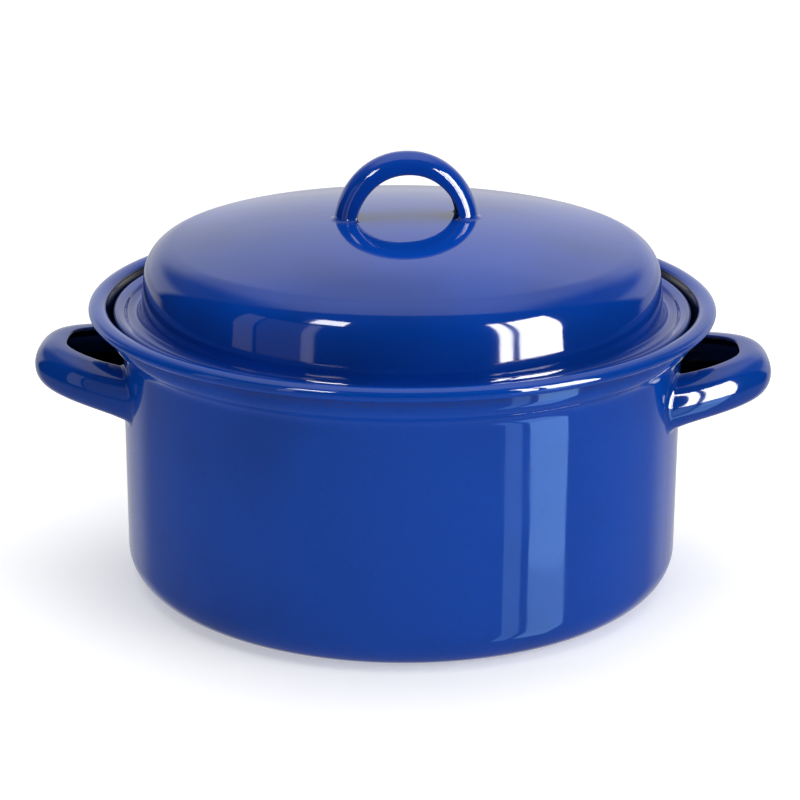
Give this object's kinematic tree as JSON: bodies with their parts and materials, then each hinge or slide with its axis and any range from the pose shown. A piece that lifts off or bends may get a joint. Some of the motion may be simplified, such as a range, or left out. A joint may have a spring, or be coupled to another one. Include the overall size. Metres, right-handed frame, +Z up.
{
  "type": "covered casserole pot",
  "caption": "Round enamelled steel casserole pot with straight wall, flared neck and rolled rim, loop side handles, and a domed lift-off lid with an arched handle.",
  "frame": {"origin": "centre of the flat base, which stands on the table", "axes": "+Z up along the pot's turned axis; +X through the right side handle; -Y is the front"},
  "size_m": [0.3212, 0.2712, 0.1886],
  "materials": {
    "pot_enamel": "glossy blue vitreous enamel on pressed steel, near-black enamel inside",
    "side_handle_enamel": "glossy blue vitreous enamel, near-black inside the half-tube",
    "lid_enamel": "glossy blue vitreous enamel on pressed steel, near-black enamel inside",
    "lid_handle_enamel": "glossy blue vitreous enamel, near-black inside the half-tube"
  },
  "bodies": {
    "pot": {"pot_body": "pot_enamel", "left_handle": "side_handle_enamel", "right_handle": "side_handle_enamel"},
    "lid": {"lid_shell": "lid_enamel", "lid_handle": "lid_handle_enamel"}
  },
  "joints": [
    {"name": "lid_lift", "type": "slide", "parent": "pot", "child": "lid", "axis": [0, 0, 1], "range_m": [0, 0.12]}
  ]
}
